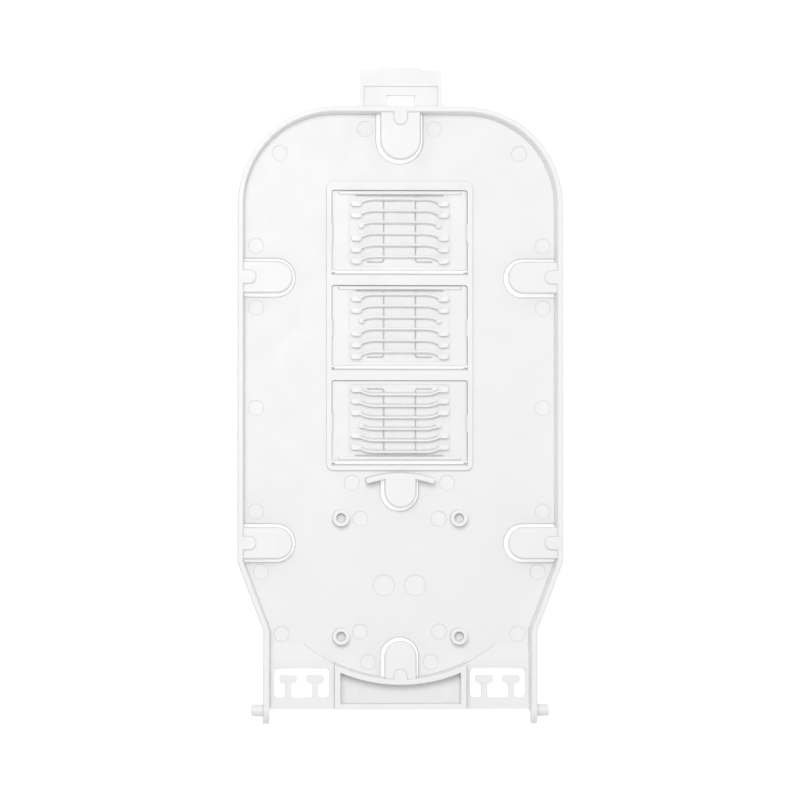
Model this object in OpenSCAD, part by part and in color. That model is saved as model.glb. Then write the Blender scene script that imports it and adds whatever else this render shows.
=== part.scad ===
// Fibre splice tray with three snap-in splice holders.
// X runs across the tray, Y from the hinge end to the latch end, Z up.
// The origin is the centre of the underside.

/* [Tray] */
// Width over the side walls
tray_w = 110; // [100:0.5:130]
// Length from the hinge arm ends to the latch tab's grip
tray_l = 221.8; // [214:0.2:240]
// Height of the walls and of the hinge arms
tray_h = 9.2; // [8:0.1:12]
// Floor thickness
floor_t = 1.8; // [1.2:0.1:2.4]
// Wall thickness at the top
wall_t = 1.8; // [1.4:0.1:2.4]
// What each inner wall face gains in thickness down to the floor
wall_draft = 0.5; // [0.2:0.1:0.8]
// Outer radius of the two corners at the latch end
corner_r = 33; // [28:0.5:40]
// Chamfer on the top edges of walls and tabs
edge_c = 0.3; // [0.1:0.05:0.5]

/* [Hinge end] */
// Width over the two hinge arms
neck_w = 92.6; // [86:0.2:96]
// Distance from the arm ends to where the side walls start to slant in
waist_start = 54.6; // [50:0.2:58]
// Distance from the arm ends to where the arms run straight
waist_end = 31.6; // [28:0.2:34]
// Thickness of each hinge arm at the top
arm_t = 2; // [1.8:0.1:3]
// Distance that the arms reach past the floor
arm_reach = 5; // [3:0.1:8]
// Hinge pin diameter
pin_d = 4; // [3:0.1:5]
// Hinge pin length
pin_l = 4; // [3:0.1:5]
// Height of the entry platform above the floor
platform_rise = 1.5; // [0.8:0.1:1.8]
// Length of the entry platform from the floor's end to the ramp
platform_l = 16.8; // [16:0.1:19]
// Length of the ramp up to the platform
ramp_l = 5.6; // [4:0.1:7]

/* [Fibre guard] */
// Inner radius of the curved guard wall
guard_r = 50.7; // [48:0.1:54]
// Distance from the floor's end to the guard wall's lowest point
guard_depth = 10; // [9:0.1:12]
// Width over the box behind the guard wall
guard_box_w = 44.4; // [40:0.2:48]

/* [Tie-down windows] */
// Width of each window
tie_w = 18.8; // [17:0.1:20]
// Length of each window
tie_l = 10.3; // [9:0.1:11]
// Corner radius of each window
tie_r = 1.5; // [0.5:0.1:2]
// Distance from the tray's centre line to each window's centre
tie_x = 33.2; // [32.5:0.1:34]
// Distance from the floor's end to each window
tie_y = 3.8; // [3.5:0.1:5]
// Spacing of the two T anchors in a window
anchor_pitch = 9.1; // [8.5:0.1:9.5]
// Width of a T anchor's head
anchor_head_w = 5.8; // [5:0.1:6]
// Length of a T anchor's head
anchor_head_l = 2.5; // [2:0.1:3]
// Width of a T anchor's stem
anchor_stem_w = 2; // [1.5:0.1:2.5]
// Reach of a T anchor into the window
anchor_l = 7.6; // [7:0.1:8]

/* [Latch tab] */
// Width of the latch tab
latch_w = 27.7; // [24:0.1:32]
// Reach of the latch tab past the end wall
latch_l = 13.05; // [10:0.05:16]
// Thickness of the latch tab
latch_t = 2.4; // [2:0.1:3]
// How far the grip stands out of the tab's end
grip_l = 0.7; // [0.3:0.1:1.2]
// Width of the grip
grip_w = 14.2; // [10:0.1:18]
// Depth of the recess in the tab's top
latch_recess = 0.6; // [0.3:0.1:1]
// Length of that recess
latch_recess_l = 6.8; // [5:0.1:8]
// Width of the raised border on each side of it
latch_border = 1.35; // [1:0.05:2]
// Width of the latch slot
latch_slot_w = 9.4; // [7:0.1:12]
// Length of the latch slot
latch_slot_l = 3.8; // [2.5:0.1:4.5]

/* [Retaining tabs] */
// Thickness of the tabs that hold the fibre down
tab_t = 1.5; // [1.2:0.1:2]
// Step from the wall's top down to a tab
tab_drop = 0.8; // [0.4:0.1:1.5]
// How far a tab's steep sides lean in
tab_side = 0.4; // [0.2:0.05:0.5]
// Width of the end wall's tab
end_tab_w = 14; // [10:0.1:16]
// Length of the end wall's tab from the wall's outer face
end_tab_l = 18.1; // [14:0.1:22]
// Width of the side walls' tabs
side_tab_w = 11.1; // [8:0.1:12]
// Length of the side walls' tabs from the wall's outer face
side_tab_l = 18.65; // [14:0.05:22]
// Distance of the upper pair of side tabs from the latch end's wall
side_tab_upper = 57.8; // [50:0.1:66]
// Distance of the lower pair of side tabs from the start of the slanting walls
side_tab_lower = 6.45; // [6.2:0.05:20]
// Width of the guard wall's tab and of the middle tab
centre_tab_w = 11; // [8:0.1:12]
// Length of the guard wall's tab from the wall's inner face
guard_tab_l = 13.2; // [10:0.1:15]
// Length of the middle tab from its wall
middle_tab_l = 10.1; // [8:0.1:12]
// Gap between a tab and the edge of the hole under it
hole_gap = 0.9; // [0.8:0.05:1.3]
// Width of the web that joins a tab to its wall
web_w = 4.5; // [3:0.1:5]
// Reach of the web past the wall's inner face
web_l = 4.3; // [3:0.1:6]

/* [Middle wall] */
// Radius of the short curved wall that carries the middle tab
middle_r = 36; // [30:0.5:44]
// Angle that the short curved wall spans
middle_angle = 38; // [34:1:44]
// Gap between the holder frame and the short curved wall
middle_gap = 0.9; // [0.5:0.1:2]

/* [Screw bosses] */
// Outer diameter of the bosses
boss_d = 5.6; // [5:0.1:7]
// Diameter of the holes in the bosses
boss_hole_d = 3.3; // [2.5:0.1:3.6]
// Depth of the holes in the bosses
boss_hole_l = 3; // [2:0.1:4]
// Spacing of the bosses across and along the tray
boss_pitch = 40; // [36:0.5:42]
// Shift of the bosses from midway between the frame and the guard, to the hinge
boss_shift = 0.85; // [0:0.05:1.5]
// Height of the bosses' tops above the underside
boss_h = 6; // [4.5:0.1:7]

/* [Holder frame] */
// Width of each holder window
window_w = 46.1; // [44:0.1:50]
// Length of each holder window
window_l = 28.9; // [28.5:0.1:31]
// Spacing of the windows
window_pitch = 32.3; // [31.9:0.1:34]
// Distance from the latch end's wall to the frame
frame_y = 25; // [23:0.1:26]
// Height of the frame above the floor
frame_rise = 1.2; // [0.8:0.1:1.6]
// Width of the frame beside the windows
frame_side = 1.75; // [1.4:0.05:3]
// Width of the frame above the top window
frame_head = 3; // [2:0.1:4]
// Width of the frame below the bottom window
frame_foot = 1.6; // [1.4:0.1:3]
// Corner radius of the frame
frame_r = 2.4; // [1:0.1:3]
// Run of the sloping wall at each window's foot, under the finger gap
foot_run = 1.1; // [0.8:0.1:1.3]
// Thickness of the ledge that the holders rest on
ledge_t = 1; // [0.8:0.1:1.2]
// Width of that ledge
ledge_w = 1.2; // [0.8:0.1:1.6]

/* [Splice holder] */
// Clearance between a holder and its window
holder_fit = 0.15; // [0.1:0.05:0.3]
// Finger gap at one end of each window
finger_gap = 1.7; // [1.5:0.1:2]
// Thickness of a holder's base plate
plate_t = 1.2; // [1:0.05:1.3]
// Depth of the panel under the fins
panel_recess = 0.25; // [0.1:0.05:0.4]
// Width of the panel under the fins
panel_w = 34.4; // [34:0.1:38]
// Number of fins
fin_count = 6; // [4:1:6]
// Spacing of the fins
fin_pitch = 3.9; // [3.8:0.05:4]
// Height of the fins above the base plate
fin_h = 2.4; // [1.8:0.1:5]
// Thickness of a fin near its top
fin_t = 0.7; // [0.6:0.05:1]
// What a fin's sloping side gains in thickness down to the plate
fin_foot = 0.5; // [0.2:0.1:0.7]
// Half length of a fin's straight middle
fin_straight = 8.8; // [7:0.1:9]
// Radius of the outward bow of a fin's ends
fin_bow_r = 9.4; // [8:0.1:10]
// Thickness of the round pads at a fin's tips
pad_t = 1.8; // [1.2:0.05:2]
// Length of the pads between the centres of their round ends
pad_l = 1.7; // [1.3:0.1:2.4]
// Angle that a fin's ends turn through
fin_angle = 33; // [25:1:36]
// Height of the lip along one edge, above the base plate
lip_h = 1; // [0.6:0.1:3]
// Thickness of the lip
lip_t = 0.85; // [0.7:0.05:1.2]
// Length of the lip along its top
lip_l = 42; // [32:0.5:44]
// Width of the slits that free the panel's two flaps, at the top
slit_w = 0.5; // [0.4:0.05:0.8]
// Width of those slits at the bottom
slit_foot_w = 0.15; // [0.1:0.05:0.4]
// Distance from the centre line to each flap's slit
slit_x = 5.4; // [4.5:0.1:6.5]
// Length of the slit along the lip
slit_l = 29.7; // [26:0.1:31]

/* [Hidden] */
$fn = 64;
tiny = 0.01;
cut = 1;
tray_colour = "#f4f5f5";
holder_colour = "#f7f7f7";

// Ends and edges of the tray
arm_end_y = -tray_l / 2;
wall_end_y = tray_l / 2 - latch_l;
floor_end_y = arm_end_y + arm_reach;
waist_start_y = arm_end_y + waist_start;
waist_end_y = arm_end_y + waist_end;
half_w = tray_w / 2;
half_neck = neck_w / 2;
corner_x = half_w - corner_r;
corner_y = wall_end_y - corner_r;

// Entry platform and guard box
platform_y = floor_end_y + platform_l;
ramp_y = platform_y + ramp_l;
platform_z = floor_t + platform_rise;
guard_y = floor_end_y + guard_depth;
guard_centre_y = guard_y + guard_r;

// Retaining tabs
tab_top = tray_h - tab_drop;
tab_z = tab_top - tab_t;
tab_hole_draft = 0.3;
web_c = edge_c * 2 / 3;
guard_web_l = web_l * 0.8;
web_fillet = 0.8;
upper_tab_y = wall_end_y - side_tab_upper;
lower_tab_y = waist_start_y + side_tab_lower;

// Fillets and corner radius of the T anchors
anchor_fillet = 0.7;

// Holder frame and its windows, counted from the latch end
frame_w = window_w + 2 * frame_side;
frame_l = frame_head + 2 * window_pitch + window_l + frame_foot;
frame_top_y = wall_end_y - frame_y;
frame_z = floor_t + frame_rise;
windows = [0, 1, 2];
function window_y(i) = frame_top_y - frame_head - window_l / 2 - i * window_pitch;

// Middle wall
middle_y = frame_top_y - frame_l - middle_gap - middle_r;

// Centre of the four bosses
boss_centre_y = (frame_top_y - frame_l + guard_y) / 2 - boss_shift;

// Splice holder
plate_w = window_w - 2 * holder_fit;
plate_l = window_l - holder_fit - finger_gap;
plate_top = ledge_t + plate_t;
panel_t = plate_t - panel_recess;
lip_y = plate_l / 2 - lip_t / 2 - 0.4;
slit_y = lip_y - lip_t / 2 - slit_w / 2 - 0.25;
first_fin_y = slit_y - 1.15;
last_fin_y = first_fin_y - (fin_count - 1) * fin_pitch;
flap_end_y = last_fin_y - 1.9;
panel_end_y = -plate_l / 2 + 1.2;
short_fin = 2;
pad_drop = 0.2;
slit_bend = 0.8;
flap_end_x = 11;

// Clips that hold a holder down
clip_l = 6;
clip_reach = 0.5;
clip_gap = 0.1;

// Marks of the mould's ejector pins: distances from the centre line
// and from the latch end's wall
mark_d = 5.3;
mark_depth = 0.15;
paired_marks = [
    [48.7, 47], [48.7, 68], [48.7, 102], [48.7, 137], [47, 157.5], [40, 178.5],
    [13.3, 139.5], [13.4, 177.7], [10.6, 188], [40.7, 15.5], [11.7, 7.2], [16.2, 127.3]
];
box_mark = [16.3, 198.2];
date_mark_d = 7.4;
date_mark_x = 5.3;
date_mark_y = 162.1;

// The tray's outline, filled from the underside up to a height
module outline(h) {
    for (side = [-1, 1])
        translate([side * corner_x, corner_y, 0]) cylinder(r = corner_r, h = h, $fn = 96);
    translate([-corner_x, corner_y, 0]) cube([2 * corner_x, corner_r, h]);
    linear_extrude(height = h)
        polygon([
            [-half_w, corner_y], [-half_w, waist_start_y], [-half_neck, waist_end_y],
            [-half_neck, floor_end_y], [half_neck, floor_end_y], [half_neck, waist_end_y],
            [half_w, waist_start_y], [half_w, corner_y]
        ]);
}

// A wall's section: outer face upright at x = 0, inner face drafted towards +x
module wall_section(t) {
    polygon([
        [0, 0], [t + wall_draft, 0], [t + wall_draft, floor_t], [t, tray_h - edge_c],
        [t - edge_c, tray_h], [edge_c, tray_h], [0, tray_h - edge_c]
    ]);
}

// A straight wall from point a to point b, with the tray to its left
module wall_run(a, b, t, past = 0) {
    d = b - a;
    length = norm(d);
    translate([a.x, a.y, 0])
        rotate([0, 0, atan2(d.y, d.x)])
            translate([-past, 0, 0])
                rotate([90, 0, 90])
                    linear_extrude(height = length + past) wall_section(t);
}

// The wall round one half of the tray, from the latch end to the floor's end
module half_wall() {
    wall_run([half_w, waist_start_y], [half_w, corner_y], wall_t);
    wall_run([half_neck, waist_end_y], [half_w, waist_start_y], wall_t, wall_t / 4);
    wall_run([half_neck, floor_end_y], [half_neck, waist_end_y + wall_t / 4], arm_t);
    wall_run([corner_x, wall_end_y], [0, wall_end_y], wall_t);
    translate([corner_x, corner_y, 0])
        rotate_extrude(angle = 90, $fn = 96)
            translate([corner_r, 0]) mirror([1, 0]) wall_section(wall_t);
}

// One hinge arm past the floor, rounded about its pin's axis
module hinge_arm() {
    pin_y = arm_end_y + tray_h / 2;
    inner_x = half_neck - arm_t;
    translate([inner_x, pin_y, tray_h / 2])
        rotate([0, 90, 0]) cylinder(d = tray_h, h = arm_t);
    translate([inner_x, pin_y, 0]) cube([arm_t, floor_end_y - pin_y + cut, tray_h]);
    translate([half_neck - tiny, pin_y, tray_h / 2])
        rotate([0, 90, 0]) {
            cylinder(d = pin_d, h = pin_l - edge_c + tiny);
            translate([0, 0, pin_l - edge_c + tiny])
                cylinder(d1 = pin_d, d2 = pin_d - 2 * edge_c, h = edge_c);
        }
}

// A bar from y = 0 to y = reach with a full round end, in the given half section
module round_bar(w, reach, section_h, top_c) {
    straight = reach - w / 2;
    rotate([90, 0, 180])
        linear_extrude(height = straight)
            polygon([
                [-w / 2, 0], [w / 2, 0], [w / 2, section_h - abs(top_c)],
                [w / 2 - top_c, section_h], [-w / 2 + top_c, section_h],
                [-w / 2, section_h - abs(top_c)]
            ]);
    translate([0, straight, 0])
        rotate_extrude(angle = 180)
            polygon([
                [0, 0], [w / 2, 0], [w / 2, section_h - abs(top_c)],
                [w / 2 - top_c, section_h], [0, section_h]
            ]);
}

// A retaining tab that reaches along +y, with a full round end
module retaining_tab(w, reach) {
    straight = reach - w / 2;
    side_h = tab_t - web_c;
    top_x = w / 2 - tab_side;
    translate([0, 0, tab_z]) {
        rotate([90, 0, 180])
            linear_extrude(height = straight)
                polygon([
                    [-w / 2, 0], [w / 2, 0], [top_x, side_h], [top_x - web_c, tab_t],
                    [-top_x + web_c, tab_t], [-top_x, side_h]
                ]);
        translate([0, straight, 0])
            rotate_extrude(angle = 180)
                polygon([[0, 0], [w / 2, 0], [top_x, side_h], [top_x - web_c, tab_t], [0, tab_t]]);
    }
}

// The hole in the floor under a retaining tab, wider at its top
module tab_hole(w, reach) {
    translate([0, 0, -tab_hole_draft]) round_bar(w + 2 * hole_gap, reach + hole_gap,
        floor_t + tab_hole_draft + tiny, -tab_hole_draft);
}

// The web that joins a tab's root to the top of its wall, with fillets at the wall
module tab_web(start) {
    foot_w = web_w + 2 * web_fillet;
    wall_y = wall_t + 0.05;
    h = tab_drop - web_c - 0.05;
    translate([0, start, tab_top - tiny])
        round_bar(web_w, web_l + wall_t - start, tab_drop + tiny, web_c);
    translate([0, 0, tab_top - tiny]) difference() {
        translate([-foot_w / 2, start, 0]) cube([foot_w, wall_y + web_fillet - start, h + tiny]);
        for (side = [-1, 1])
            translate([side * foot_w / 2, wall_y + web_fillet, -cut])
                cylinder(r = web_fillet, h = h + 2 * cut, $fn = 32);
    }
}

// Puts a child that reaches along +y from y = 0 at a side wall, both sides
module at_side_walls(y) {
    for (side = [-1, 1])
        translate([side * half_w, y, 0]) rotate([0, 0, side * 90]) children();
}

// Everything that a retaining tab on the end and side walls has above the floor
module wall_tabs() {
    start = wall_t / 2;
    translate([0, wall_end_y, 0]) rotate([0, 0, 180]) {
        translate([0, start, 0]) retaining_tab(end_tab_w, end_tab_l - start);
        tab_web(start);
    }
    for (y = [upper_tab_y, lower_tab_y])
        at_side_walls(y) {
            translate([0, start, 0]) retaining_tab(side_tab_w, side_tab_l - start);
            tab_web(start);
        }
}

// The holes in the floor under the end and side walls' tabs
module wall_tab_holes() {
    start = wall_t + wall_draft;
    translate([0, wall_end_y, 0]) rotate([0, 0, 180])
        translate([0, start, 0]) tab_hole(end_tab_w, end_tab_l - start);
    for (y = [upper_tab_y, lower_tab_y])
        at_side_walls(y) translate([0, start, 0]) tab_hole(side_tab_w, side_tab_l - start);
}

// What lies outside the guard's circle of radius r, between the ramp and the floor's end
module outside_guard(r, x, y0, y1, z0, z1) {
    difference() {
        translate([-x, y0, z0]) cube([2 * x, y1 - y0, z1 - z0]);
        translate([0, guard_centre_y, z0 - cut]) cylinder(r = r, h = z1 - z0 + 2 * cut, $fn = 128);
    }
}

// The raised entry platform with its ramps, hollow on the underside
module entry_platform() {
    difference() {
        translate([-half_neck + wall_t, 0, 0]) rotate([90, 0, 90])
            linear_extrude(height = neck_w - 2 * wall_t)
                polygon([
                    [floor_end_y, 0], [ramp_y, 0], [ramp_y, floor_t],
                    [platform_y, platform_z], [floor_end_y, platform_z]
                ]);
        translate([0, guard_centre_y, -cut]) cylinder(r = guard_r, h = tray_h, $fn = 128);
    }
}

// The hollow under the entry platform
module platform_hollow() {
    skirt = wall_t;
    inner_x = half_neck - arm_t - wall_draft;
    difference() {
        outside_guard(guard_r + wall_t, inner_x, floor_end_y + skirt, platform_y,
            -cut, platform_rise);
        translate([-guard_box_w / 2, floor_end_y, -2 * cut])
            cube([guard_box_w, platform_l, tray_h]);
    }
}

// The curved guard wall, its inner face drafted, and the open box behind it
module guard_box() {
    box_w = guard_box_w / 2;
    reach = platform_l + ramp_l;
    difference() {
        outside_guard(guard_r - wall_draft, box_w, floor_end_y, floor_end_y + reach, 0, tray_h);
        outside_guard(guard_r + wall_t, box_w - wall_t, floor_end_y + wall_t,
            floor_end_y + reach, floor_t, tray_h + cut);
        translate([0, guard_centre_y, 0])
            rotate_extrude($fn = 128)
                polygon([
                    [0, floor_t], [guard_r - wall_draft, floor_t], [guard_r, tray_h - edge_c],
                    [guard_r + edge_c, tray_h], [guard_r + edge_c, tray_h + cut], [0, tray_h + cut]
                ]);
    }
}

// The tab on the guard wall
module guard_tab() {
    translate([0, guard_y - wall_t / 2, 0]) {
        retaining_tab(centre_tab_w, guard_tab_l + wall_t / 2);
        translate([0, 0, tab_top - tiny])
            round_bar(web_w, guard_web_l + wall_t / 2, tab_drop + tiny, web_c);
    }
}

// One tie-down window's outline, with the two T anchors left standing
module tie_window() {
    z0 = -cut;
    h = tray_h;
    difference() {
        rounded_block(tie_w, tie_l, tie_r, z0, h);
        for (side = [-1, 1])
            translate([side * anchor_pitch / 2, -tie_l / 2, z0 - cut]) anchor(h + 2 * cut);
    }
}

// A T anchor of height h, on the window's edge, with fillets at its foot
module anchor(h) {
    foot_w = anchor_stem_w + 2 * anchor_fillet;
    translate([-anchor_stem_w / 2, -cut, 0])
        cube([anchor_stem_w, anchor_l - anchor_head_l + cut + tiny, h]);
    translate([0, anchor_l - anchor_head_l / 2, 0])
        rounded_block(anchor_head_w, anchor_head_l, anchor_fillet, 0, h);
    difference() {
        translate([-foot_w / 2, -cut, 0]) cube([foot_w, cut + anchor_fillet, h]);
        for (side = [-1, 1])
            translate([side * foot_w / 2, anchor_fillet, -cut])
                cylinder(r = anchor_fillet, h = h + 2 * cut, $fn = 32);
    }
}

// A block with round corners, centred in x and y
module rounded_block(w, l, r, z0, h) {
    translate([0, 0, z0]) {
        translate([-w / 2 + r, -l / 2, 0]) cube([w - 2 * r, l, h]);
        translate([-w / 2, -l / 2 + r, 0]) cube([w, l - 2 * r, h]);
        for (x = [-1, 1], y = [-1, 1])
            translate([x * (w / 2 - r), y * (l / 2 - r), 0]) cylinder(r = r, h = h, $fn = 32);
    }
}

// The latch tab with its grip and raised border
module latch_tab() {
    z0 = tray_h - latch_t;
    body_l = latch_l - grip_l;
    translate([0, wall_end_y, 0]) difference() {
        union() {
            translate([-latch_w / 2, -wall_t / 2, z0])
                cube([latch_w, wall_t / 2 + body_l - 1, latch_t]);
            translate([-latch_w / 2 + 1, 0, z0]) cube([latch_w - 2, body_l, latch_t]);
            for (side = [-1, 1])
                translate([side * (latch_w / 2 - 1), body_l - 1, z0])
                    cylinder(r = 1, h = latch_t, $fn = 32);
            translate([-grip_w / 2, 0, z0 - 1]) cube([grip_w, body_l + grip_l, latch_t + 1]);
            for (side = [-1, 1])
                translate([side * latch_w / 2, 0, z0]) linear_extrude(height = latch_t)
                    polygon([[-side * 0.2, -wall_t / 2], [side * 1.2, -tiny], [-side * 0.2, 1.6]]);
        }
        // the grip's foot is only at the end of the tab
        translate([-latch_w, tiny, z0 - 1 - cut])
            cube([2 * latch_w, latch_recess_l, 1 + cut]);
        translate([-latch_w / 2 + latch_border, tiny, tray_h - latch_recess])
            cube([latch_w - 2 * latch_border, latch_recess_l, latch_recess + cut]);
        translate([-latch_slot_w / 2, -0.1, z0 - 2 * cut])
            cube([latch_slot_w, latch_slot_l, latch_t + 4 * cut]);
    }
}

// The four screw bosses, solid
module bosses(d, z0, z1) {
    for (x = [-1, 1], row = [0, 1])
        translate([x * boss_pitch / 2, boss_centre_y + (row - 0.5) * boss_pitch, z0])
            cylinder(d = d, h = z1 - z0, $fn = 48);
}

// The short curved wall with the middle tab
module middle_wall() {
    translate([0, middle_y, 0])
        rotate_extrude(angle = middle_angle, start = 90 - middle_angle / 2, $fn = 96)
            polygon([
                [middle_r - wall_t - wall_draft / 2, 0], [middle_r + wall_draft / 2, 0],
                [middle_r, tab_top - web_c], [middle_r - web_c, tab_top],
                [middle_r - wall_t + web_c, tab_top], [middle_r - wall_t, tab_top - web_c]
            ]);
    translate([0, middle_y + middle_r - wall_t / 2, 0]) rotate([0, 0, 180])
        retaining_tab(centre_tab_w, middle_tab_l + wall_t / 2);
}

// The raised frame round the holder windows
module holder_frame() {
    translate([0, frame_top_y - frame_l / 2, 0])
        rounded_block(frame_w, frame_l, frame_r, floor_t - tiny, frame_rise + tiny);
}

// One window with the ledge that its holder rests on
module holder_window() {
    seat_l = window_l - finger_gap;
    seat_y = (window_l - seat_l) / 2;
    foot_y = -window_l / 2;
    opening_l = seat_l - ledge_w + cut;
    translate([0, seat_y, 0]) rounded_block(window_w, seat_l, 0.8, ledge_t, frame_z + cut);
    translate([-window_w / 2 + ledge_w, window_l / 2 - ledge_w - opening_l, -cut])
        cube([window_w - 2 * ledge_w, opening_l, ledge_t + 2 * cut]);
    // the finger gap, its outer wall sloping down to the underside
    rotate([90, 0, 90]) translate([0, 0, -window_w / 2])
        linear_extrude(height = window_w)
            polygon([
                [foot_y + foot_run, 0], [foot_y + foot_run, -cut], [seat_y, -cut],
                [seat_y, frame_z + cut], [foot_y, frame_z + cut], [foot_y, frame_z]
            ]);
}

// The two clips over a holder's side edges
module holder_clips(i) {
    z0 = plate_top + clip_gap;
    for (side = [-1, 1])
        translate([side * window_w / 2, window_y(i) + clip_l / 2, 0])
            rotate([90, 0, 0]) linear_extrude(height = clip_l)
                polygon([
                    [side * frame_side / 2, z0], [-side * clip_reach, z0],
                    [-side * clip_reach, z0 + 0.3], [0, frame_z], [side * frame_side / 2, frame_z]
                ]);
}

// Shallow round marks in the floor
module ejector_marks() {
    z = floor_t - mark_depth;
    for (side = [-1, 1]) {
        for (p = concat(paired_marks, [box_mark]))
            translate([side * p.x, wall_end_y - p.y, z]) cylinder(d = mark_d, h = mark_depth + cut, $fn = 48);
        translate([side * date_mark_x, wall_end_y - date_mark_y, z])
            cylinder(d = date_mark_d, h = mark_depth + cut, $fn = 48);
    }
}

// The moulded tray
module tray() {
    color(tray_colour) {
        difference() {
            union() {
                difference() {
                    outline(floor_t);
                    ejector_marks();
                }
                holder_frame();
                entry_platform();
            }
            wall_tab_holes();
            translate([0, guard_y + wall_draft, 0])
                tab_hole(centre_tab_w, guard_tab_l - wall_draft);
            translate([0, middle_y + middle_r - wall_t - wall_draft, 0]) rotate([0, 0, 180])
                tab_hole(centre_tab_w, middle_tab_l - wall_draft);
            for (i = windows) translate([0, window_y(i), 0]) holder_window();
            platform_hollow();
            for (side = [-1, 1])
                translate([side * tie_x, floor_end_y + tie_y + tie_l / 2, 0]) tie_window();
        }
        for (i = windows) holder_clips(i);
        half_wall();
        mirror([1, 0, 0]) half_wall();
        hinge_arm();
        mirror([1, 0, 0]) hinge_arm();
        wall_tabs();
        guard_box();
        guard_tab();
        middle_wall();
        latch_tab();
        difference() {
            bosses(boss_d, floor_t - tiny, boss_h);
            bosses(boss_hole_d, boss_h - boss_hole_l, boss_h + cut);
        }
    }
}

// A fin's section: x across the fin, towards the lip, y up
module fin_section() {
    top = fin_h + panel_recess;
    bead = 0.15;
    foot_x = fin_t / 2 + fin_foot;
    polygon([
        [-foot_x, 0], [-fin_t / 2, top - bead], [-fin_t / 2 + bead, top],
        [fin_t / 2 - bead, top], [fin_t / 2, top - bead], [fin_t / 2, 0]
    ]);
}

// One end of a fin: it bows away from the lip and ends in a round pad
module fin_end(full) {
    turn = full ? fin_angle : fin_angle - 6;
    x = fin_straight + fin_bow_r * sin(turn);
    y = fin_bow_r * (cos(turn) - 1);
    translate([fin_straight, -fin_bow_r, 0])
        rotate_extrude(angle = turn, start = 90 - turn, $fn = 64)
            translate([fin_bow_r, 0]) fin_section();
    if (full) fin_pad(x, y - fin_foot / 4, pad_l);
    else fin_pad(x, y - fin_foot / 4, 0);
}

// The pad at a fin's tip: a bar with round ends, a little lower than the fin
module fin_pad(x, y, l) {
    h = fin_h + panel_recess - pad_drop;
    translate([x, y, 0]) {
        cylinder(d = pad_t, h = h, $fn = 32);
        if (l > 0) {
            translate([0, -pad_t / 2, 0]) cube([l, pad_t, h]);
            translate([l, 0, 0]) cylinder(d = pad_t, h = h, $fn = 32);
        }
    }
}

// One fin
module fin(full) {
    rotate([90, 0, 90]) translate([0, 0, -fin_straight])
        linear_extrude(height = 2 * fin_straight) fin_section();
    fin_end(full);
    mirror([1, 0, 0]) fin_end(full);
}

// The slits that free the two flaps of the panel
module flap_slits() {
    translate([-slit_l / 2, slit_y, 0]) rotate([90, 0, 90]) slit_run(slit_l);
    for (side = [-1, 1]) on_side(side) {
        translate([slit_x, flap_end_y + slit_bend, 0])
            rotate([90, 0, 180]) slit_run(slit_y - flap_end_y - slit_bend);
        translate([slit_x + slit_bend, flap_end_y, 0])
            rotate([90, 0, 90]) slit_run(flap_end_x - slit_x - slit_bend);
        translate([slit_x + slit_bend, flap_end_y + slit_bend, 0])
            rotate_extrude(angle = 90, start = 180, $fn = 32)
                translate([slit_bend, 0]) slit_section();
    }
}

// A straight slit of a length, from the origin along the section's own axis
module slit_run(length) {
    linear_extrude(height = length) slit_section();
}

// Section of a slit: it narrows downwards
module slit_section() {
    polygon([
        [-slit_foot_w / 2, -cut], [slit_foot_w / 2, -cut], [slit_foot_w / 2, 0],
        [slit_w / 2, plate_t], [slit_w / 2, plate_t + cut], [-slit_w / 2, plate_t + cut],
        [-slit_w / 2, plate_t], [-slit_foot_w / 2, 0]
    ]);
}

// Mirrors its children for the left side
module on_side(side) {
    if (side < 0) mirror([1, 0, 0]) children();
    else children();
}

// A splice holder about its window's centre, its underside at z = 0
module splice_holder() {
    color(holder_colour) {
        difference() {
            rounded_block(plate_w, plate_l, 0.7, 0, plate_t);
            translate([0, (slit_y + panel_end_y) / 2, 0])
                rounded_block(panel_w, slit_y - panel_end_y, 1.6, panel_t, plate_t);
            flap_slits();
        }
        for (i = [0 : fin_count - 1])
            translate([0, first_fin_y - i * fin_pitch, panel_t]) fin(i != short_fin);
        // lip with sloping ends
        translate([0, lip_y + lip_t / 2, plate_t - tiny]) rotate([90, 0, 0])
            linear_extrude(height = lip_t)
                polygon([
                    [-lip_l / 2, 0], [lip_l / 2, 0], [lip_l / 2 - lip_h / 2, lip_h],
                    [-lip_l / 2 + lip_h / 2, lip_h]
                ]);
    }
}

// A holder in window i, its lip towards the latch end or, turned, the hinge end
module placed_holder(i, turned) {
    gap_shift = (finger_gap - holder_fit) / 2;
    translate([0, window_y(i) + gap_shift, ledge_t])
        rotate([0, 0, turned ? 180 : 0]) splice_holder();
}

module splice_holder_upper() { placed_holder(0, false); }
module splice_holder_middle() { placed_holder(1, false); }
module splice_holder_lower() { placed_holder(2, true); }

tray();
splice_holder_upper();
splice_holder_middle();
splice_holder_lower();
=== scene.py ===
import math

import bpy
from mathutils import Matrix, Vector

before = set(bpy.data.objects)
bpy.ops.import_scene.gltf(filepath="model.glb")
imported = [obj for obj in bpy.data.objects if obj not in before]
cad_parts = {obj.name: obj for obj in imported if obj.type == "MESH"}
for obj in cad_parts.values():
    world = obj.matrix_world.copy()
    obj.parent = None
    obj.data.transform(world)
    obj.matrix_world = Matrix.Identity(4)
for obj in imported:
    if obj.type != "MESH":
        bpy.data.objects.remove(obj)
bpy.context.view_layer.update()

MM = 0.001

# ---------------------------------------------------------------- settings
# Plastic
PLASTIC_IOR = 1.49
EDGE_RADIUS = 0.1 * MM
EDGE_SAMPLES = 6
GLOW_DEPTH = 1.2 * MM
CLOUD_SCALE = 22.0
FLOW_SCALE = 70.0
FLOW_TWIST = 1.2
SINK_DEPTH = 0.05 * MM
SINK_STRENGTH = 0.25
GRAIN_SCALE = 2600.0
GRAIN_DEPTH = 0.02 * MM
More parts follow.
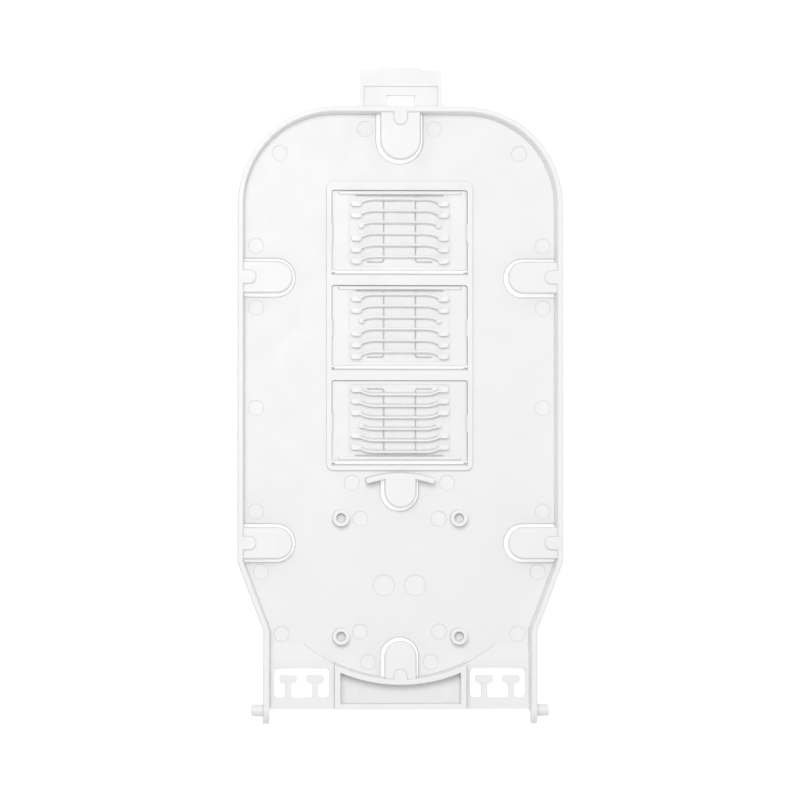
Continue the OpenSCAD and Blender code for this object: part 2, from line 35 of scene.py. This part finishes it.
# How far the roughness runs below and above its own value
SMOOTHER = 0.05
ROUGHER = 0.06
# Most values of a noise lie between these two
NOISE_LOW = 0.3
NOISE_HIGH = 0.7

# Painted shade in narrow gaps and inner corners: how far off a surface still closes one in,
# the open share at which a gap is darkest, and its grey there, as a share of the plastic's
# own colour
GAP_REACH = 0.35 * MM
GAP_SAMPLES = 8
GAP_OPEN = 0.1
PAINTED_GAP_SHADE = 0.6

# Ejector marks in mm: distances from the centre line and from the latch end's wall.
# The four nearest the latch end hardly show, so they have their relief alone.
LATCH_L = 13.05
MARK_D = 5.3
DATE_MARK_D = 7.4
MARKS = (
    (48.7, 47), (48.7, 68), (48.7, 102), (48.7, 137), (47, 157.5), (40, 178.5),
    (13.3, 139.5), (13.4, 177.7), (10.6, 188), (16.2, 127.3), (16.3, 198.2),
)
DATE_MARK = (5.3, 162.1)
# Greys of a mark, as shares of the tray's own colour, and where each lies, in radii: the
# paler disc is painted sheen of the pin face, the darker witness ring painted shade in the
# hairline round the pin
PLAIN = 0.97
DISC_SHEEN = 0.99
WITNESS_SHADE = 0.955
MARK_STOPS = ((0.0, DISC_SHEEN), (0.86, DISC_SHEEN), (0.93, WITNESS_SHADE), (0.99, WITNESS_SHADE), (1.0, PLAIN))
# A face has marks where the upward part of its normal is more than this
FACES_UP = 0.5

# Floor and room
FLOOR_SIZE = 8.0
FLOOR_DROP = 0.03 * MM
FLOOR_BOUNCE = 0.86
FLOOR_PAPER = 0.7
FLOOR_LIGHT = 0.6
ROOM_LIGHT = 0.615
BACKDROP_LIGHT = 1.0

# Key lamp
KEY_PLACE = (-0.1, 0.15, 0.88)
KEY_AIM = (0.0, -0.04, 0.0)
KEY_SIZE = 0.35
KEY_POWER = 3.45

# Camera: nearly overhead, leaning towards -X and -Y
CAM_AWAY = 1.9
CAM_AIM = Vector((0.16 * MM, -1.36 * MM, 1.8 * MM))
LEAN_X = math.radians(3.3)
LEAN_Y = math.radians(1.4)
FRAME_WIDTH = 0.27077
SENSOR = 36.0
CLIP_END = 50.0

scene = bpy.context.scene
scene.view_settings.view_transform = "Standard"


# ---------------------------------------------------------------- helpers
def grey(value):
    """An opaque grey."""
    return (value, value, value, 1.0)


def look_at(obj, place, target):
    """Put obj at place, facing target, with the top of the view towards +Y."""
    away = (Vector(place) - Vector(target)).normalized()
    side = Vector((0.0, 1.0, 0.0)).cross(away).normalized()
    up = away.cross(side)
    turn = Matrix((side, up, away)).transposed()
    obj.location = place
    obj.rotation_euler = turn.to_euler()


def node(tree, kind, **values):
    """A shader node; values name its sockets and settings, with _ for each space."""
    made = tree.nodes.new(kind)
    for name, value in values.items():
        socket = name.replace("_", " ")
        if socket in made.inputs:
            made.inputs[socket].default_value = value
        else:
            setattr(made, name, value)
    return made


def multiply(tree, colour, by, where=None):
    """The colour times another, everywhere or only where the third socket is 1."""
    mix = node(tree, "ShaderNodeMix", data_type="RGBA", blend_type="MULTIPLY")
    # Mix names its sockets alike for every data type; these are the colours' own
    factor, first, second, result = 0, 6, 7, 2
    mix.inputs[factor].default_value = 1.0
    if where:
        tree.links.new(where, mix.inputs[factor])
    tree.links.new(colour, mix.inputs[first])
    tree.links.new(by, mix.inputs[second])
    return mix.outputs[result]


def seen_directly(tree):
    """1 on rays from the camera or off a glossy surface, and 0 on all others."""
    path = node(tree, "ShaderNodeLightPath")
    seen = node(tree, "ShaderNodeMath", operation="MAXIMUM")
    tree.links.new(path.outputs["Is Camera Ray"], seen.inputs[0])
    tree.links.new(path.outputs["Is Glossy Ray"], seen.inputs[1])
    return seen.outputs["Value"]


# ---------------------------------------------------------------- plastic
def nearest_mark(tree, place, marks):
    """How far each point is from the nearest ejector mark, in that mark's radii."""
    link = tree.links.new
    split = node(tree, "ShaderNodeSeparateXYZ")
    mirrored = node(tree, "ShaderNodeMath", operation="ABSOLUTE")
    flat = node(tree, "ShaderNodeCombineXYZ")
    link(place.outputs["Object"], split.inputs["Vector"])
    link(split.outputs["X"], mirrored.inputs[0])
    link(mirrored.outputs["Value"], flat.inputs["X"])
    link(split.outputs["Y"], flat.inputs["Y"])
    nearest = None
    for x, y, diameter in marks:
        far = node(tree, "ShaderNodeVectorMath", operation="DISTANCE")
        far.inputs[1].default_value = (x, y, 0.0)
        radii = node(tree, "ShaderNodeMath", operation="DIVIDE")
        radii.inputs[1].default_value = diameter / 2
        link(flat.outputs["Vector"], far.inputs[0])
        link(far.outputs["Value"], radii.inputs[0])
        if nearest is None:
            nearest = radii
            continue
        least = node(tree, "ShaderNodeMath", operation="MINIMUM")
        link(nearest.outputs["Value"], least.inputs[0])
        link(radii.outputs["Value"], least.inputs[1])
        nearest = least
    return nearest.outputs["Value"]


def mark_sheen_and_shade(tree, place, hue, marks):
    """The colour with ejector marks: a paler disc, painted sheen of the pin face, in a thin
    darker ring, painted shade in the hairline round the pin.
    """
    # Painted sheen on each pin's disc and painted shade in its witness ring
    ring = node(tree, "ShaderNodeValToRGB")
    steps = ring.color_ramp.elements
    while len(steps) < len(MARK_STOPS):
        steps.new(0.5)
    for step, (at, share) in zip(steps, MARK_STOPS):
        step.position = at
        step.color = grey(share)
    tree.links.new(nearest_mark(tree, place, marks), ring.inputs["Fac"])

    facing = node(tree, "ShaderNodeSeparateXYZ")
    upward = node(tree, "ShaderNodeMath", operation="GREATER_THAN")
    upward.inputs[1].default_value = FACES_UP
    tree.links.new(place.outputs["Normal"], facing.inputs["Vector"])
    tree.links.new(facing.outputs["Z"], upward.inputs[0])
    return multiply(tree, hue, ring.outputs["Color"], upward.outputs["Value"])


def paint_gap_shade(tree, hue):
    """The colour with narrow gaps and inner corners darker: painted shade, as light dies out
    there.
    """
    # Ambient occlusion darkens the base colour: painted shade in gaps and inner corners
    cleft = node(tree, "ShaderNodeAmbientOcclusion", samples=GAP_SAMPLES, Distance=GAP_REACH)
    dim = node(tree, "ShaderNodeMapRange", From_Min=GAP_OPEN, To_Min=PAINTED_GAP_SHADE)
    tree.links.new(cleft.outputs["AO"], dim.inputs["Value"])
    return multiply(tree, hue, dim.outputs["Result"])


def plastic(name, shade, roughness, grain, cloud, glow, marks=()):
    """Moulded plastic: soft edges, a fine spark-eroded grain, slow sink and flow."""
    mat = bpy.data.materials.new(name)
    mat.use_nodes = True
    tree = mat.node_tree
    tree.nodes.clear()
    link = tree.links.new
    out = node(tree, "ShaderNodeOutputMaterial")
    shader = node(tree, "ShaderNodeBsdfPrincipled", IOR=PLASTIC_IOR, Subsurface_Weight=glow,
                  Subsurface_Radius=(1.0, 1.0, 1.0), Subsurface_Scale=GLOW_DEPTH)
    link(shader.outputs["BSDF"], out.inputs["Surface"])

    place = node(tree, "ShaderNodeTexCoord")
    slow = node(tree, "ShaderNodeTexNoise", Scale=CLOUD_SCALE, Detail=3.0, Roughness=0.55)
    fine = node(tree, "ShaderNodeTexNoise", Scale=GRAIN_SCALE, Detail=2.0, Roughness=0.6)
    flow = node(tree, "ShaderNodeTexNoise", Scale=FLOW_SCALE, Detail=4.0, Roughness=0.5,
                Distortion=FLOW_TWIST)
    for noise in (slow, fine, flow):
        link(place.outputs["Object"], noise.inputs["Vector"])

    # Colour: a slow, very faint cloudiness, and with marks also the marks' painted sheen and
    # shade, and painted shade in narrow gaps and inner corners
    tone = node(tree, "ShaderNodeValToRGB")
    dull, full = tone.color_ramp.elements
    dull.position = NOISE_LOW
    dull.color = grey(shade * (1.0 - cloud))
    full.position = NOISE_HIGH
    full.color = grey(shade)
    link(slow.outputs["Fac"], tone.inputs["Fac"])
    hue = tone.outputs["Color"]
    if marks:
        # Painted sheen and shade of the ejector marks, then painted shade in narrow gaps and
        # inner corners
        hue = paint_gap_shade(tree, mark_sheen_and_shade(tree, place, hue, marks))
    link(hue, shader.inputs["Base Color"])

    # Roughness: satin, with streaks where the melt flowed
    rough = node(tree, "ShaderNodeMapRange", From_Min=NOISE_LOW, From_Max=NOISE_HIGH,
                 To_Min=roughness - SMOOTHER, To_Max=roughness + ROUGHER)
    link(flow.outputs["Fac"], rough.inputs["Value"])
    link(rough.outputs["Result"], shader.inputs["Roughness"])

    # Relief: rounded edges, sink, grain
    bevel = node(tree, "ShaderNodeBevel", samples=EDGE_SAMPLES, Radius=EDGE_RADIUS)
    sink = node(tree, "ShaderNodeBump", Strength=SINK_STRENGTH, Distance=SINK_DEPTH)
    grit = node(tree, "ShaderNodeBump", Strength=grain, Distance=GRAIN_DEPTH)
    link(bevel.outputs["Normal"], sink.inputs["Normal"])
    link(flow.outputs["Fac"], sink.inputs["Height"])
    link(sink.outputs["Normal"], grit.inputs["Normal"])
    link(fine.outputs["Fac"], grit.inputs["Height"])
    link(grit.outputs["Normal"], shader.inputs["Normal"])
    return mat


wall_end = max(corner[1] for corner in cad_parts["tray"].bound_box) - LATCH_L * MM
marks = [(x * MM, wall_end - y * MM, MARK_D * MM) for x, y in MARKS]
marks.append((DATE_MARK[0] * MM, wall_end - DATE_MARK[1] * MM, DATE_MARK_D * MM))

tray_mat = plastic("tray_white", shade=0.857, roughness=0.42, grain=0.25, cloud=0.008,
                   glow=0.4, marks=marks)
holder_mat = plastic("holder_white", shade=0.83, roughness=0.38, grain=0.15, cloud=0.01,
                     glow=0.7)

for name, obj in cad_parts.items():
    mat = tray_mat if name == "tray" else holder_mat
    for slot in obj.material_slots:
        slot.material = mat
    if not obj.material_slots:
        obj.data.materials.append(mat)


# ---------------------------------------------------------------- floor and room
def floor_material():
    """A white sweep: it looks white to the eye, and still takes the part's shadow."""
    mat = bpy.data.materials.new("white_sweep")
    mat.use_nodes = True
    tree = mat.node_tree
    tree.nodes.clear()
    link = tree.links.new
    out = node(tree, "ShaderNodeOutputMaterial")
    bounce = node(tree, "ShaderNodeBsdfDiffuse", Color=grey(FLOOR_BOUNCE))
    paper = node(tree, "ShaderNodeBsdfDiffuse", Color=grey(FLOOR_PAPER))
    light = node(tree, "ShaderNodeEmission", Color=grey(1.0), Strength=FLOOR_LIGHT)
    lit = node(tree, "ShaderNodeAddShader")
    mix = node(tree, "ShaderNodeMixShader")
    link(paper.outputs["BSDF"], lit.inputs[0])
    link(light.outputs["Emission"], lit.inputs[1])
    link(seen_directly(tree), mix.inputs["Fac"])
    link(bounce.outputs["BSDF"], mix.inputs[1])
    link(lit.outputs["Shader"], mix.inputs[2])
    link(mix.outputs["Shader"], out.inputs["Surface"])
    return mat


def studio():
    """A world of even light, in which the camera sees a white backdrop."""
    world = bpy.data.worlds.new("studio")
    world.use_nodes = True
    tree = world.node_tree
    tree.nodes.clear()
    link = tree.links.new
    out = node(tree, "ShaderNodeOutputWorld")
    room = node(tree, "ShaderNodeBackground", Color=grey(1.0), Strength=ROOM_LIGHT)
    white = node(tree, "ShaderNodeBackground", Color=grey(1.0), Strength=BACKDROP_LIGHT)
    mix = node(tree, "ShaderNodeMixShader")
    link(seen_directly(tree), mix.inputs["Fac"])
    link(room.outputs["Background"], mix.inputs[1])
    link(white.outputs["Background"], mix.inputs[2])
    link(mix.outputs["Shader"], out.inputs["Surface"])
    return world


# The floor lies a hair below the part, so that their faces don't coincide
bpy.ops.mesh.primitive_plane_add(size=FLOOR_SIZE, location=(0.0, 0.0, -FLOOR_DROP))
sweep = bpy.context.object
sweep.name = "floor"
sweep.data.materials.append(floor_material())

scene.world = studio()


# ---------------------------------------------------------------- lamp and camera
key_data = bpy.data.lights.new("key", "AREA")
key_data.shape = "DISK"
key_data.size = KEY_SIZE
key_data.energy = KEY_POWER
key = bpy.data.objects.new("key", key_data)
scene.collection.objects.link(key)
look_at(key, KEY_PLACE, KEY_AIM)

cam_data = bpy.data.cameras.new("camera")
cam_data.sensor_width = SENSOR
cam_data.lens = SENSOR * CAM_AWAY / FRAME_WIDTH
cam_data.clip_end = CLIP_END
cam = bpy.data.objects.new("camera", cam_data)
scene.collection.objects.link(cam)
cam_place = CAM_AIM + Vector((-math.tan(LEAN_X), -math.tan(LEAN_Y), 1.0)) * CAM_AWAY
look_at(cam, cam_place, CAM_AIM)
scene.camera = cam
